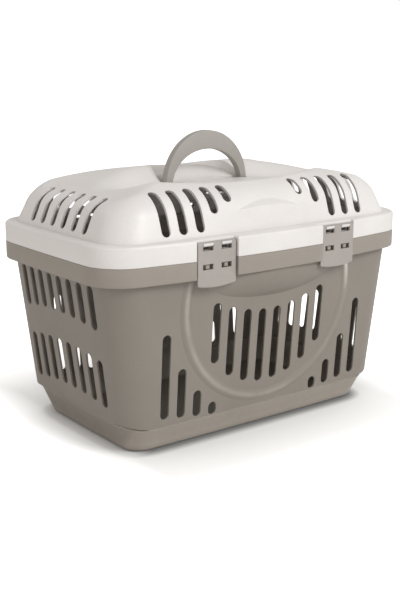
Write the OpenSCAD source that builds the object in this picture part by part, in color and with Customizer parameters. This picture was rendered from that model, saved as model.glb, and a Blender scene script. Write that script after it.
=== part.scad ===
// Top-opening animal carrier: a vented tub, a domed lid, a folding carry handle and four swing clips.
// X runs along the carrier, the front is at -Y, Z is up and the base stands on Z = 0.

/* [Rim] */
// Length over the rim
rim_l = 480; // [400:1:560]
// Depth over the rim at the bowed middle of its long sides
rim_d = 311; // [270:1:380]
// Corner radius of the rim
rim_r = 50; // [36:1:64]
// Outward bow of the rim's long sides
rim_bow = 15; // [8:0.5:18]
// Outward bow of the ends of the rim and of the dome
rim_end_bow = 1; // [0.5:0.1:3]
// Height of the turned-down band round the tub's rim
rim_band = 22; // [16:0.5:28]
// Thickness of the moulded walls
wall = 2.5; // [1.6:0.1:3]
// Gap between the lid's flange and the tub's rim
seat_gap = 0.3; // [0.2:0.05:0.6]

/* [Tub] */
// Height of the tub's rim above the floor
tub_h = 235; // [220:1:300]
// Overhang of the rim past the top of the tub's long walls
rim_over = 15; // [12:0.5:18]
// Overhang of the rim past the top of the tub's end walls
rim_over_end = 6.5; // [5:0.5:10]
// Corner radius at the top of the tub's wall
wall_r = 46; // [38:1:56]
// Outward bow of the tub's long walls at the top
wall_bow = 6; // [2:0.5:9]
// Outward bow of the tub's end walls at the top
end_bow = 4; // [1:0.5:6]
// Share of the walls' bow that is left at the base
bow_low = 0.2; // [0:0.05:0.4]
// Inward slope of the long walls, in degrees
side_draft = 5; // [3:0.1:7]
// Inward slope of the end walls, in degrees
end_draft = 7.4; // [5:0.1:8.5]
// Height of the step above the base band
step_z = 36; // [28:1:44]
// How much higher the step lies at the ends
step_lift = 6; // [2:0.5:8]
// Depth of the step at the ends
step_end = 5.5; // [3:0.5:8]
// Depth of the step at the long sides
step_side = 1.5; // [0.5:0.1:3]
// Corner radius of the wall just above the step
step_r = 36; // [28:1:44]
// Length of the base
base_l = 374; // [330:1:384]
// Depth of the base
base_d = 209; // [190:1:224]
// Corner radius of the base
base_r = 24; // [20:1:34]
// Rounding of the base's lower edge
base_edge = 3.5; // [3:0.5:7]

/* [Front medallion] */
// Height of the middle of the embossed ring
ring_z = 175; // [165:1:185]
// Radius of the embossed ring
ring_r = 129; // [122:1:136]
// Width of the ring's rounded bead
ring_w = 14; // [8:0.5:18]
// How far the bead stands out from the wall
ring_out = 1.8; // [1:0.1:2.5]
// Radius in plan of the bulge under the rim
belly_r = 350; // [300:10:420]
// Depth of the bulge below the rim band
belly_drop = 36; // [30:1:42]
// How far the top of the bulge lies behind the rim's face
belly_in = 3.5; // [2.5:0.5:5]

/* [Tub slots] */
// Width of the slots in the long sides
slot_w = 11.5; // [8:0.5:13]
// Spacing of the slots in the long sides
slot_pitch = 23.7; // [21:0.1:25]
// Radius about the ring's middle that the inner slots reach down to
slot_in_r = 111; // [104:1:116]
// Radius about the ring's middle that the outer slots rise to
slot_out_r = 149; // [144:1:154]
// Height of the top of the middle slots
slot_top_z = 160; // [150:1:165]
// Radius of the curve along the tops of the inner slots
slot_top_r = 195; // [170:5:260]
// Height of the lower end of the innermost outer slot
slot_low_z = 34.5; // [32:0.5:40]
// Rise of the outer slots' lower ends for each millimetre outwards
slot_low_rise = 0.125; // [0.05:0.005:0.2]
// Gap that the tallest outer slot leaves below the ring's middle
slot_tall_gap = 26; // [20:1:34]
// Width of the slots in the ends
end_slot_w = 12.5; // [7:0.5:14]
// Spacing of the slots in the ends
end_slot_pitch = 22.7; // [20:0.1:24]
// Height of the foot of the lower row at the middle of an end wall
end_low_z = 65; // [58:1:70]
// Height of the top of the lower row at the middle of an end wall
end_low_top = 125; // [112:1:134]
// Height of the foot of the upper row at the middle of an end wall
end_high_z = 162; // [152:1:170]
// Height of the top of the upper row
end_high_top = 209; // [198:1:210]
// How far the end rows droop from the middle to the outermost slot
end_droop = 7; // [3:0.5:10]

/* [Lid] */
// Height of the lid's flange
flange_h = 24.3; // [23:0.1:32]
// Width of the ledge between the rim and the dome at the ends
ledge_end = 15; // [12:0.5:20]
// Width of the ledge between the rim and the dome at the middle of the long sides
ledge_side = 21; // [18:0.5:24]
// Corner radius of the dome's foot
dome_r = 42; // [36:1:50]
// Share of the flank's lean that is taken off the dome's corner radius
dome_corner = 0.3; // [0.1:0.05:0.5]
// Outward bow of the dome's long sides
dome_bow = 4.5; // [1:0.5:7]
// Lean of the dome's long flanks from upright, in degrees
flank_side = 18; // [14:0.5:24]
// Lean of the dome's end flanks from upright, in degrees
flank_end = 23; // [16:0.5:28]
// Straight height of the dome's flanks
flank_h = 25; // [20:1:30]
// Rounding between the long flanks and the top
shoulder_r = 42; // [34:1:48]
// Rounding between the end flanks and the top
shoulder_end_r = 30; // [20:1:36]
// Slope of the top where it meets the shoulder, in degrees
crown_slope = 25; // [19:0.5:28]
// Rise of the crown above the long shoulders
crown_rise = 16; // [8:0.5:20]
// Depth of the dish round the handle
dish = 19.5; // [12:0.5:20]
// Length of the dish
dish_l = 368; // [280:2:380]
// Width of the dish from front to back
dish_d = 140; // [110:2:150]
// How far the middle of the dish lies in front of the handle
dish_front = 26; // [0:1:30]
// Share of the dish that is level
dish_flat = 0.6; // [0.3:0.05:0.7]
// Radius in plan of the bulge on the dome's front and back
bulge_r = 178; // [150:2:210]
// How far the bulge lies behind the bowed middle of the rim
bulge_in = 23; // [21.5:0.5:25]
// Height of the bulge's upright face above the ledge
bulge_h = 29; // [24:1:32]
// Run of the sloping shoulder above the bulge
bulge_run = 36; // [30:1:42]
// Slope of the shoulder above the bulge, in degrees
bulge_slope = 28; // [22:1:36]

/* [Lid slots] */
// Width of the slots in the lid
lid_slot_w = 12; // [9:0.5:14]
// Spacing of the slots in the lid's front and back
lid_slot_pitch = 24; // [21:0.5:26]
// Distance of the innermost lid slot from the middle
lid_slot_x = 57; // [48:1:64]
// Lean of the slots in the lid's front and back from upright, in degrees
lid_slot_lean = 34; // [30:1:38]
// Start of the outer lid slots above the ledge, along their lean
lid_slot_low = 6; // [4.5:0.5:9]
// Start of the second lid slot from the middle, along its lean
lid_slot_mid = 25; // [20:0.5:30]
// Start of the innermost lid slot, along its lean
lid_slot_high = 37; // [32:0.5:42]
// Upper end of the lid slots, along their lean
lid_slot_top = 68; // [56:0.5:72]
// Spacing of the slots in the lid's ends
lid_end_pitch = 24.5; // [20:0.5:27]
// Width of the slots in the lid's ends
lid_end_w = 11; // [7:0.5:13]
// Lean of the slots in the lid's ends from upright, in degrees
lid_end_lean = 38; // [32:1:42]
// Upper end of the lid's end slots, along their lean
lid_end_top = 57; // [48:0.5:60]

/* [Handle] */
// Half the width over the handle's arch
handle_x = 65.5; // [60:0.5:80]
// Height of the arch above its pivot
handle_h = 68.5; // [56:0.5:74]
// Width of the handle's legs
handle_leg = 10; // [8:0.5:15]
// Thickness of the grip at the top of the arch
handle_grip = 24; // [18:0.5:28]
// Depth of the handle from front to back
handle_t = 9.5; // [8:0.5:15]
// Depth of the handle's pivot below the crown
pivot_drop = 24.4; // [22:0.1:28]
// Radius of the pivot pins
pin_r = 2.5; // [2:0.1:3.5]
// Length of the pivot pins
pin_l = 7; // [5:0.5:9]
// Reach of the handle's well in front of the pivot
well_front = 8; // [7:0.5:14]
// Rounding of the well's front corners
well_r = 5; // [3:0.5:7]
// Clearance round the handle in its well
well_gap = 1; // [0.6:0.1:2]

/* [Clips] */
// Distance of each clip from the middle
clip_x = 96.5; // [86:0.5:104]
// Width of a clip
clip_w = 56; // [48:0.5:60]
// Thickness of a clip's plate
clip_t = 3; // [2.6:0.1:3.4]
// Radius of the round bar along the top of a clip
bar_r = 2.2; // [1.8:0.1:2.4]
// Height of the clip's pivot above the rim
clip_pivot = 19.5; // [17:0.5:21]
// Length of a clip below its pivot
clip_l = 52; // [46:0.5:56]
// Drop of the curved finger edge from its ends to its middle
clip_curve = 3; // [1:0.5:5]
// Depth of the clip seats behind the rim's bowed middle
clip_seat = 10.7; // [9:0.1:12]
// Clearance beside a clip in its pocket
clip_side = 0.75; // [0.5:0.05:1.2]
// Gap between a clip's bar and its seat
bar_gap = 0.8; // [0.5:0.05:1]
// How far a clip's face lies outside its bar
plate_lip = 0.4; // [0.2:0.05:0.6]
// How far the tub's lugs lie behind the clip's face
lug_in = 1; // [0.6:0.1:1.4]
// Width of the tub's lugs
lug_w = 5; // [3:0.5:8]
// Distance between the two windows of a pair
window_pitch = 27; // [24:0.5:29]
// Width of a window
window_w = 15; // [12:0.5:18]
// Depth of the upper windows below the pivot
window_up = 8; // [7:0.5:10]
// Middle of the lower windows below the pivot
window_low = 27; // [20:0.5:30]
// Height of the lower windows
window_low_h = 6.4; // [5:0.2:8]
// Wall of the hooks that hold the bar
hook_wall = 1.2; // [1:0.1:1.6]

/* [Hidden] */
$fn = 48;

// Clearances: between a pin and its bore, and between parts that pass each other
run_gap = 0.05;
pass_gap = 0.5;
// Overlap that lets a cut or a joint run clean through a face
bite = 1;

tub_grey = [0.57, 0.54, 0.50];
clip_grey = [0.69, 0.66, 0.63];
lid_white = [0.93, 0.92, 0.91];

// Facets of an outline: along half an end, round a corner and along half a long side
end_steps = 3;
arc_steps = 7;
side_steps = 6;
quarter = end_steps + arc_steps + side_steps;

lid_z = tub_h + seat_gap;
ledge_z = lid_z + flange_h;
half_l = rim_l / 2;
half_d = rim_d / 2;
band_z = tub_h - rim_band;

// Outlines are built a quarter at a time and mirrored into the other three

function fold_index(j) = floor(j / quarter) % 2 == 0 ? j % quarter : quarter - j % quarter;
function fold_sign(j) =
    let (side = floor(j / quarter))
    [side == 0 || side == 3 ? 1 : -1, side < 2 ? 1 : -1];

// Rounded rectangle with bowed sides: half length a, half depth b, corner radius r,
// and the bow of the long sides and of the ends.
function outline(a, b, r, bow, bow_end) =
    let (
        tilt = atan(2 * bow / (a - r)),
        tilt_end = atan(2 * bow_end / (b - r)),
        p = a - r * cos(tilt_end) + r * sin(tilt),
        q = b - r * cos(tilt) + r * sin(tilt_end),
        x_end = (p - q * tan(tilt_end) / 2) / (1 - tan(tilt) * tan(tilt_end) / 4),
        y_end = q - x_end * tan(tilt) / 2,
        sag = x_end * tan(tilt) / 2,
        sag_end = y_end * tan(tilt_end) / 2,
        cx = x_end - r * sin(tilt),
        cy = y_end - r * sin(tilt_end),
        sweep = 90 - tilt - tilt_end,
        points = [
            for (i = [0:end_steps]) [a - sag_end * pow(i / end_steps, 2), y_end * i / end_steps],
            for (i = [1:arc_steps - 1])
                let (t = tilt_end + sweep * i / arc_steps) [cx + r * cos(t), cy + r * sin(t)],
            for (i = [side_steps:-1:0]) [x_end * i / side_steps, b - sag * pow(i / side_steps, 2)]
        ]
    )
    [for (j = [0:4 * quarter - 1])
        let (s = fold_sign(j), p = points[fold_index(j)]) [p.x * s.x, p.y * s.y]];

// Share of the ends in each point of an outline: 1 along an end, 0 along a long side
function end_share(j) =
    let (i = fold_index(j), t = (i - end_steps) / arc_steps)
    i <= end_steps ? 1 : t >= 1 ? 0 : (1 + cos(180 * t)) / 2;

// Ring of an outline's points at height z, lifted at its ends
function level(points, z, lift = 0) =
    [for (j = [0:len(points) - 1]) [points[j].x, points[j].y, z + lift * end_share(j)]];
function mix(from, to, t) = from + (to - from) * t;

// Skin through a stack of rings, closed flat or by a fan that meets at a peak
module loft(rings, peak = undef) {
    n = len(rings[0]);
    top = (len(rings) - 1) * n;
    walls = [
        for (k = [0:len(rings) - 2], j = [0:n - 1])
            let (a = k * n + j, b = k * n + (j + 1) % n)
            each [[a, a + n, b + n], [a, b + n, b]]
    ];
    lid_face = [for (j = [n - 1:-1:0]) top + j];
    fan = [for (j = [0:n - 1]) [top + (j + 1) % n, top + j, top + n]];
    polyhedron(
        points = concat([for (ring = rings) each ring], is_undef(peak) ? [] : [peak]),
        faces = concat([[for (j = [0:n - 1]) j]], walls, is_undef(peak) ? [lid_face] : fan)
    );
}

// Slot with round ends, from low to high along Y
module slot(width, low, high) {
    for (y = [low + width / 2, high - width / 2])
        translate([0, y])
            circle(d = width);
    translate([-width / 2, low + width / 2])
        square([width, high - low - width]);
}

// Places a part at both ends of an axis, the second turned half round
module both_sides() {
    children();
    rotate(180)
        children();
}

// Turns a drawing made in X and Y up into the XZ plane and pushes it along Y by length to each side
module upright(length) {
    rotate([90, 0, 0])
        linear_extrude(2 * length, center = true)
            children();
}

// Tub walls

wall_a = half_l - rim_over_end;
wall_b = half_d - rim_over;

// Share of the way up from the step to the rim
function rise(z) = (z - step_z) / (tub_h - step_z);
function wall_half_l(z) = wall_a - (tub_h - z) * tan(end_draft);
function wall_half_d(z) = wall_b - (tub_h - z) * tan(side_draft);
function bow_share(z) = mix(bow_low, 1, rise(z));
function wall_sag(z) = wall_bow * bow_share(z);

// Wall outline at a height above the step, drawn in by inset
function wall_outline(z, inset) =
    outline(
        wall_half_l(z) - inset,
        wall_half_d(z) - inset,
        mix(step_r, wall_r, rise(z)) - inset,
        wall_sag(z),
        end_bow * bow_share(z)
    );

// Outline of the base band from the floor, at 0, to the underside of the step, at 1
function base_outline(t, inset) =
    outline(
        mix(base_l / 2, wall_half_l(step_z) - step_end, t) - inset,
        mix(base_d / 2, wall_half_d(step_z) - step_side, t) - inset,
        mix(base_r, step_r, t) - inset,
        bow_low * wall_bow,
        bow_low * end_bow
    );

// Distance of the long wall's face from the middle plane
function wall_face(x, z) = wall_half_d(z) - wall_sag(z) * pow(x / (wall_half_l(z) - step_r), 2);

step_low = step_z - step_end / 2;

// Outer skin of the tub, rounded at its lower edge
module tub_outside() {
    edge = [for (t = [0:30:90]) [base_edge * (1 - cos(t)), base_edge * (1 - sin(t))]];
    loft([
        for (e = edge) level(base_outline(e.x / step_low, e.y), e.x),
        level(base_outline(1, 0), step_low, step_lift),
        level(wall_outline(step_z, 0), step_z, step_lift),
        level(wall_outline(tub_h, 0), tub_h)
    ]);
}

// Hollow of the tub, open at the top
module tub_inside() {
    loft([
        level(base_outline(wall / step_low, wall), wall),
        level(base_outline(1, wall), step_low, step_lift),
        level(wall_outline(step_z, wall), step_z, step_lift),
        level(wall_outline(tub_h + bite, wall), tub_h + bite)
    ]);
}

// Rim outline drawn in by inset, with a flat pocket behind each clip
module rim_plan(inset) {
    pocket_w = clip_w + 2 * clip_side + 2 * inset;
    difference() {
        polygon(outline(half_l - inset, half_d - inset, rim_r - inset, rim_bow, rim_end_bow));
        for (x = [-clip_x, clip_x], y = [-1, 1])
            translate([x - pocket_w / 2, y > 0 ? seat_y - inset : -seat_y + inset - half_d])
                square([pocket_w, half_d]);
    }
}

// Upright band along the rim from low to high, open below and closed by a plate at its top
module rim_band_solid(low, high) {
    difference() {
        translate([0, 0, low])
            linear_extrude(high - low)
                rim_plan(0);
        translate([0, 0, low - bite])
            linear_extrude(high - low - wall + bite)
                rim_plan(wall);
    }
}

// Bulge that runs from the rim band down into the long wall, drawn in by inset
module belly(inset) {
    face = half_d - belly_in - inset;
    depth = face - wall_face(0, band_z - belly_drop) + inset;
    arc_r = (belly_drop * belly_drop + depth * depth) / (2 * depth);
    spread = 90;
    reach = 0.8 * wall_b;
    intersection() {
        translate([0, belly_r - face, 0])
            rotate(-90 - spread / 2)
                rotate_extrude(angle = spread)
                    intersection() {
                        translate([belly_r - arc_r, band_z])
                            circle(arc_r, $fn = 96);
                        translate([belly_r - face + wall_b / 2, band_z - belly_drop - bite])
                            square([face, belly_drop + bite]);
                    }
        translate([-clip_x - clip_w / 2, -half_d, band_z - belly_drop - bite])
            cube([2 * clip_x + clip_w, half_d - reach, belly_drop + 2 * bite]);
    }
}

// Raised ring on the long wall, lying along the wall's slope
module ring() {
    low = wall_face(0, ring_z - ring_r);
    high = wall_face(ring_r, ring_z);
    lean = atan((high - low) / ring_r);
    bead_r = (ring_w * ring_w / 4 + ring_out * ring_out) / (2 * ring_out);
    intersection() {
        translate([0, -high - ring_out + bead_r, ring_z])
            rotate([90 + lean, 0, 0])
                rotate_extrude($fn = 96)
                    translate([ring_r, 0])
                        circle(bead_r, $fn = 60);
        translate([-half_l, -half_d, 0])
            cube([rim_l, half_d, band_z + wall]);
    }
}

// Slots in the long walls: a fan inside the ring and a rising row outside it on each side
module side_slots() {
    inner = [for (i = [0.5:1:3.5]) i * slot_pitch];
    outer = [for (i = [3.5:1:6.5]) i * slot_pitch];
    for (s = [-1, 1]) {
        for (x = inner)
            translate([s * x, 0])
                slot(
                    slot_w,
                    ring_z - sqrt(slot_in_r * slot_in_r - x * x),
                    slot_top_z + x * x / (2 * slot_top_r)
                );
        for (x = outer)
            translate([s * x, 0])
                slot(
                    slot_w,
                    slot_low_z + (x - outer[0]) * slot_low_rise,
                    ring_z - max(slot_tall_gap, sqrt(max(0, slot_out_r * slot_out_r - x * x)))
                );
    }
}

// Slots in the ends: two drooping rows
module end_slots() {
    half_row = 3.5;
    for (i = [-half_row:1:half_row]) {
        droop = end_droop * pow(i / half_row, 2);
        translate([i * end_slot_pitch, 0]) {
            slot(end_slot_w, end_low_z - droop, end_low_top - droop);
            slot(end_slot_w, end_high_z - droop, min(end_high_top, band_z - wall));
        }
    }
}

// Clip places

seat_y = half_d - clip_seat;
hook_r = bar_r + run_gap + hook_wall;
// The bar turns just clear of the seat, and the plate lies flush with the bar's outer side
pivot_y = seat_y + bar_r + bar_gap;
pivot_z = tub_h + clip_pivot;
plate_out = bar_r + plate_lip;
lug_h = window_low_h - 2 * pass_gap;

// Places a part at the pivots of the two clips of one side
module clip_places() {
    for (x = [-clip_x, clip_x])
        translate([x, -pivot_y, pivot_z])
            children();
}

// Places a part at the two windows of a clip
module window_places() {
    for (x = [-window_pitch / 2, window_pitch / 2])
        translate([x, 0, 0])
            children();
}

// Hole through the seat's wall behind a window, from low to high below the pivot
module seat_hole(low, high) {
    hole_w = window_w - 2 * pass_gap;
    translate([-hole_w / 2, pivot_y - seat_y - bite, -low])
        cube([hole_w, wall + 2 * bite, low - high]);
}

// Lug on the tub that stands in a lower window, with a web across the hole behind it
module tub_lug() {
    reach = plate_out - lug_in;
    translate([-lug_w / 2, -reach, -window_low - lug_h / 2])
        cube([lug_w, reach + pivot_y - seat_y + wall / 2, lug_h]);
    translate([-lug_w / 2, pivot_y - seat_y, -window_low - lug_h / 2 - bite])
        cube([lug_w, wall, lug_h + 2 * bite]);
}

// Hook on the lid that carries the bar, open at the top
module lid_hook() {
    hook_w = window_w - 2 * pass_gap;
    back = pivot_y - seat_y + wall / 2;
    lip = bar_r / 3;
    rotate([90, 0, 90])
        linear_extrude(hook_w, center = true)
            difference() {
                union() {
                    circle(hook_r);
                    translate([0, -hook_r])
                        square([back, 2 * hook_r]);
                }
                circle(bar_r + run_gap);
                translate([-2 * hook_r, lip])
                    square([2 * hook_r + back + bite, 2 * hook_r]);
            }
}

module tub() {
    color(tub_grey) {
        difference() {
            union() {
                tub_outside();
                rim_band_solid(band_z, tub_h);
                both_sides() {
                    belly(0);
                    ring();
                }
            }
            tub_inside();
            both_sides()
                belly(wall);
            upright(rim_d)
                side_slots();
            rotate(90)
                upright(rim_l)
                    end_slots();
            both_sides()
                clip_places()
                    window_places()
                        seat_hole(window_low + lug_h / 2, window_low - lug_h / 2);
        }
        both_sides()
            clip_places()
                window_places()
                    tub_lug();
    }
}

// Lid dome

foot_a = half_l - ledge_end;
foot_b = half_d - ledge_side;

// Inward run and height of a flank that leans in and turns over a shoulder of radius r:
// t runs 0 to 1 up the flank and 1 to 2 round the shoulder
function turn(lean, t) = mix(90 - lean, crown_slope, t - 1);
function flank_run(lean, r, t) =
    t <= 1 ? flank_h * t * tan(lean)
           : flank_h * tan(lean) + r * (sin(90 - lean) - sin(turn(lean, t)));
function flank_rise(lean, r, t) =
    t <= 1 ? flank_h * t
           : flank_h + r * (cos(turn(lean, t)) - cos(90 - lean));

// Outline of the dome at t, drawn in by inset, and the height of its points above the ledge
function dome_plan(t, inset) =
    let (run = flank_run(flank_side, shoulder_r, t))
    outline(
        foot_a - flank_run(flank_end, shoulder_end_r, t) - inset,
        foot_b - run - inset,
        dome_r - dome_corner * run - inset,
        dome_bow,
        rim_end_bow
    );
function dome_edge(t, j) =
    mix(flank_rise(flank_side, shoulder_r, t), flank_rise(flank_end, shoulder_end_r, t), end_share(j));
function dome_ring(t, inset) =
    let (plan = dome_plan(t, inset))
    [for (j = [0:len(plan) - 1]) [plan[j].x, plan[j].y, ledge_z + dome_edge(t, j) - inset]];

// The top leaves the shoulders at the crown's slope, levels out and dips into the dish
crown_h = flank_rise(flank_side, shoulder_r, 2) + crown_rise;
crown_z = ledge_z + crown_h;
crown_power = (foot_b - flank_run(flank_side, shoulder_r, 2)) * tan(crown_slope) / crown_rise;
function dip(p) =
    let (
        far = 2 * norm([p.x / dish_l, (p.y + dish_front) / dish_d]),
        t = (far - dish_flat) / (1 - dish_flat)
    )
    t <= 0 ? dish : t < 1 ? dish * (1 + cos(180 * t)) / 2 : 0;
function top_ring(keep, inset) =
    let (plan = dome_plan(2, inset))
    [for (j = [0:len(plan) - 1])
        let (p = plan[j] * keep, crown = mix(crown_h, dome_edge(2, j), pow(keep, crown_power)))
        [p.x, p.y, ledge_z + crown - dip(p) - inset]];

// Dome drawn in by inset, reaching down past the ledge
module dome(inset) {
    loft(
        concat(
            [level(dome_plan(0, inset), lid_z + flange_h / 2)],
            [for (t = [0, 1, 1.2, 1.4, 1.6, 1.8, 2]) dome_ring(t, inset)],
            [for (keep = [0.95, 0.9, 0.84, 0.78, 0.72, 0.65, 0.56, 0.46, 0.36, 0.2]) top_ring(keep, inset)]
        ),
        [0, 0, crown_z - dip([0, 0]) - inset]
    );
}

// Upright bulge on the long flank under a sloping shoulder, drawn in by inset
module bulge(inset) {
    face = half_d - bulge_in - inset;
    foot = ledge_z - wall;
    reach = foot_b - bulge_run - shoulder_r / 2;
    intersection() {
        translate([0, bulge_r - face, foot]) {
            cylinder(r = bulge_r, h = wall + bulge_h - inset, $fn = 128);
            translate([0, 0, wall + bulge_h - inset])
                cylinder(r1 = bulge_r, r2 = bulge_r - bulge_run, h = bulge_run * tan(bulge_slope), $fn = 128);
        }
        translate([-clip_x, -half_d, foot])
            cube([2 * clip_x, half_d - reach, wall + flank_h + shoulder_r / 3]);
    }
}

// Lays a drawing on a plane that leans in from the dome's foot and cuts it to both sides of the plane
module leaning_cut(foot, lean) {
    translate([0, -foot, ledge_z])
        rotate([90 - lean, 0, 0])
            linear_extrude(shoulder_r, center = true)
                children();
}

// Slots in the long flanks of the lid: the inner two start above the bulge
module lid_side_slots() {
    starts = [lid_slot_high, lid_slot_mid, lid_slot_low, lid_slot_low, lid_slot_low];
    leaning_cut(foot_b, lid_slot_lean)
        for (s = [-1, 1], i = [0:len(starts) - 1])
            translate([s * (lid_slot_x + i * lid_slot_pitch), 0])
                slot(lid_slot_w, starts[i], lid_slot_top);
}

module lid_end_slots() {
    rotate(90)
        leaning_cut(foot_a, lid_end_lean)
            for (i = [-2.5:1:2.5])
                translate([i * lid_end_pitch, 0])
                    slot(lid_end_w, lid_slot_low, lid_end_top);
}

// Handle well

handle_z = crown_z - pivot_drop;
foot_r = handle_t / 2;
well_floor = handle_z - foot_r - well_gap;
well_x = handle_x + well_gap;
boss_wall = 1.5 * wall;

// Plan of the well, grown by a wall: an arch behind the pivot and a rounded front
module well_plan(grow) {
    steps = 24;
    turns = 6;
    half = well_x + grow;
    back = handle_h + well_gap + grow - foot_r;
    front = well_front + grow;
    r = well_r + grow;
    polygon([
        for (i = [0:steps])
            let (t = 180 * i / steps) [half * cos(t), foot_r + back * sin(t)],
        for (s = [-1, 1], i = [0:turns])
            let (t = 90 * i / turns + (s < 0 ? 180 : 270))
                [s * (half - r) + r * cos(t), r - front + r * sin(t)]
    ]);
}

// Turns a pin or bore to lie along the pivot line on both sides, starting at distance x
module pivot_places(x) {
    for (s = [-1, 1])
        translate([s * x, 0, handle_z])
            rotate([0, s * 90, 0])
                children();
}

// Walls and floor of the well, with the bosses round the pivot bores
module well_walls() {
    translate([0, 0, well_floor - wall])
        linear_extrude(crown_z - well_floor + wall)
            well_plan(wall);
    pivot_places(well_x)
        cylinder(r = pin_r + boss_wall, h = pin_l + pass_gap);
}

// What the back of the flange loses so that it swings about the rear bars clear of the rim
module swing_relief() {
    difference() {
        translate([-half_l, pivot_y, lid_z - bite])
            cube([rim_l, half_d - pivot_y + bite, flange_h / 2]);
        translate([0, pivot_y, pivot_z])
            rotate([0, 90, 0])
                cylinder(r = clip_pivot - seat_gap, h = 2 * rim_l, center = true, $fn = 192);
    }
}

module lid() {
    color(lid_white) {
        difference() {
            union() {
                rim_band_solid(lid_z, ledge_z);
                dome(0);
                both_sides()
                    bulge(0);
            }
            difference() {
                union() {
                    dome(wall);
                    both_sides()
                        bulge(wall);
                }
                well_walls();
            }
            translate([0, 0, lid_z - bite])
                linear_extrude(flange_h - wall + bite)
                    rim_plan(wall);
            translate([0, 0, well_floor])
                linear_extrude(crown_z)
                    well_plan(0);
            pivot_places(well_x - bite)
                cylinder(r = pin_r + run_gap, h = pin_l + pass_gap + 2 * bite);
            swing_relief();
            both_sides() {
                lid_side_slots();
                lid_end_slots();
                clip_places()
                    window_places()
                        seat_hole(window_up, hook_r);
            }
        }
        both_sides()
            clip_places()
                window_places()
                    lid_hook();
    }
}

// Arch of the handle with round feet on the pivot line and a pin outside each foot
module handle() {
    steps = 40;
    inner_x = handle_x - handle_leg;
    inner_h = handle_h - handle_grip;
    color(clip_grey) {
        translate([0, 0, handle_z])
            rotate([90, 0, 0])
                linear_extrude(handle_t, center = true)
                    polygon([
                        for (i = [0:steps])
                            let (t = 180 * i / steps) [handle_x * cos(t), handle_h * sin(t)],
                        for (i = [steps:-1:0])
                            let (t = 180 * i / steps) [inner_x * cos(t), inner_h * sin(t)]
                    ]);
        pivot_places(inner_x)
            cylinder(r = foot_r, h = handle_leg);
        pivot_places(handle_x - bite)
            cylinder(r = pin_r, h = pin_l + bite);
    }
}

// One clip, hanging from its pivot at the origin with its face to the front
module clip() {
    edge_r = clip_w * clip_w / (8 * clip_curve) + clip_curve / 2;
    color(clip_grey) {
        difference() {
            translate([0, clip_t - plate_out, 0])
                rotate([90, 0, 0])
                    linear_extrude(clip_t)
                        intersection() {
                            translate([-clip_w / 2, -clip_l])
                                square([clip_w, clip_l]);
                            translate([0, edge_r - clip_l])
                                circle(edge_r, $fn = 192);
                        }
            window_places() {
                translate([-window_w / 2, -clip_t * 2, -window_up])
                    cube([window_w, clip_t * 4, window_up + bite]);
                translate([-window_w / 2, -clip_t * 2, -window_low - window_low_h / 2])
                    cube([window_w, clip_t * 4, window_low_h]);
            }
        }
        rotate([0, 90, 0])
            cylinder(r = bar_r, h = clip_w, center = true);
    }
}

module clip_front(x) {
    translate([x, -pivot_y, pivot_z])
        clip();
}

module clip_rear(x) {
    translate([x, pivot_y, pivot_z])
        rotate(180)
            clip();
}

tub();
lid();
handle();
clip_front(-clip_x);  // clip_front_left
clip_front(clip_x);  // clip_front_right
clip_rear(-clip_x);  // clip_rear_left
clip_rear(clip_x);  // clip_rear_right
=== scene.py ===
"""Looks of the top-opening animal carrier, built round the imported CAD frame.

Sizes are in millimetres until a mesh is made. Materials and the studio work in metres.
"""
from math import asin, atan, cos, pi, radians, sin, sqrt, tan

import bmesh
import bpy
import numpy as np
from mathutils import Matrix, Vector


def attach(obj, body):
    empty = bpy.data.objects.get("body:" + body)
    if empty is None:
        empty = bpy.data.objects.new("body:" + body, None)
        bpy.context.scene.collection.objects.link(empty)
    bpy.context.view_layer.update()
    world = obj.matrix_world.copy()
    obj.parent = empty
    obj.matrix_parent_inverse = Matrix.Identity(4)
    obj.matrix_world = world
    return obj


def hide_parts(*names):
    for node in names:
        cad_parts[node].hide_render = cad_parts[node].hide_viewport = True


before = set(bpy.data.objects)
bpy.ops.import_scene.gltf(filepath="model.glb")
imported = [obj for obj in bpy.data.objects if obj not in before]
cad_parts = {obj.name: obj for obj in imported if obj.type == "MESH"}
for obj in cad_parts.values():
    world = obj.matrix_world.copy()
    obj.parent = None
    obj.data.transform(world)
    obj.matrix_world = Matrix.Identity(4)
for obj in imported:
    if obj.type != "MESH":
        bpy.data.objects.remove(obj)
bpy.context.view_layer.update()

MM = 0.001

# How far a cutter or an added piece reaches past a face
PAST = 1.0

# Rim: half length, half depth, corner, bow of its sides and ends, and its rounded edges
HALF_L, HALF_D, RIM_R, RIM_BOW, RIM_END_BOW = 240.0, 155.5, 50.0, 15.0, 1.0
RIM_LOW_EDGE, SEAM_EDGE, LEDGE_EDGE = 1.4, 0.5, 3.6

# Tub walls at the rim's height, with the share of their bow that is left at the step
TUB_H, RIM_BAND, WALL, WALL_TOP_DROP = 235.0, 22.0, 2.5, 0.6
BAND_Z = TUB_H - RIM_BAND
WALL_A, WALL_B, WALL_R, WALL_BOW, END_BOW, BOW_LOW = 233.5, 140.5, 46.0, 6.0, 4.0, 0.2
SIDE_DRAFT, END_DRAFT = radians(5), radians(7.4)

# Step over the base band, higher at the ends. Its stops are shares of the way out and of the way up
STEP_Z, STEP_LIFT, STEP_END, STEP_SIDE, STEP_R, STEP_CLEAR = 36.0, 6.0, 5.5, 1.5, 36.0, 1.5
STEP_LOW = STEP_Z - STEP_END / 2
STEP_STOPS = ((0, -0.5), (-0.35, -0.1), (-0.35, 0.15), (0.1, 0.3), (0.9, 0.85), (0.97, 0.95), (1, 1.2))

# Base band: half length, half depth, corner, lower edges, and heights of its rings
BASE_A, BASE_B, BASE_R, BASE_EDGE, BASE_INNER_EDGE = 187.0, 104.5, 24.0, 3.5, 3.0
LIFT_FROM, BASE_STOPS, BASE_INNER_STOPS = 5.0, (12.0, 20.0, 27.0), (16.0, 27.0)

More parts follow.
